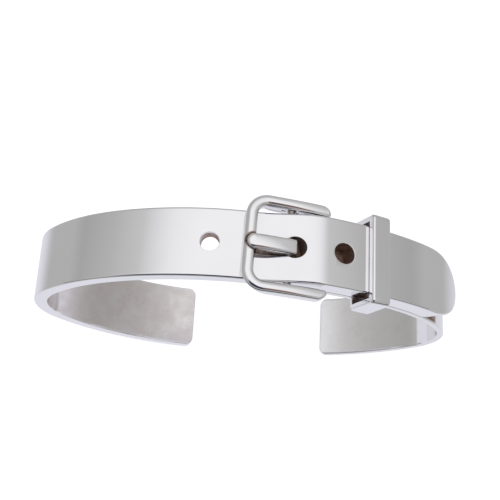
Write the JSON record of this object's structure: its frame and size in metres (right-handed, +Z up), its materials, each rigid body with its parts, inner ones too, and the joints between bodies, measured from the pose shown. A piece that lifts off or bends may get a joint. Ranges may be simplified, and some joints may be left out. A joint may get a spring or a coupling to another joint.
{
  "type": "belt buckle cuff bracelet",
  "caption": "Open oval cuff bracelet of polished silver shaped like a strap-and-buckle belt, with a hinged buckle frame, a hinged tongue, a keeper loop and a rounded belt tip.",
  "frame": {"origin": "on the plane the cuff stands on, under the middle of its bounding box", "axes": "+Z up, away from the standing plane, with the buckle on top; +X along the belt at the buckle, from the buckle towards the belt tip; +Y across the belt, away from the viewer"},
  "size_m": [0.0638, 0.0142, 0.042],
  "materials": {
    "polished_silver": "mirror-polished silver",
    "worn_silver": "polished silver, slightly worn and tarnished"
  },
  "bodies": {
    "cuff": {"belt_strap": "polished_silver", "inner_band": "worn_silver", "keeper_loop": "polished_silver"},
    "buckle": {"buckle_frame": "polished_silver", "centre_bar": "worn_silver"},
    "tongue": {"buckle_tongue": "polished_silver"}
  },
  "joints": [
    {"name": "frame_hinge", "type": "hinge", "parent": "cuff", "child": "buckle", "pos_m": [0.00513, 0.00001, 0.03823], "axis": [0.0313, 0.9995, -0.0024], "range_deg": [0, 25]},
    {"name": "tongue_hinge", "type": "hinge", "parent": "buckle", "child": "tongue", "pos_m": [0.00513, 0.00001, 0.03823], "axis": [0.0313, 0.9995, -0.0024], "range_deg": [0, 15]}
  ]
}
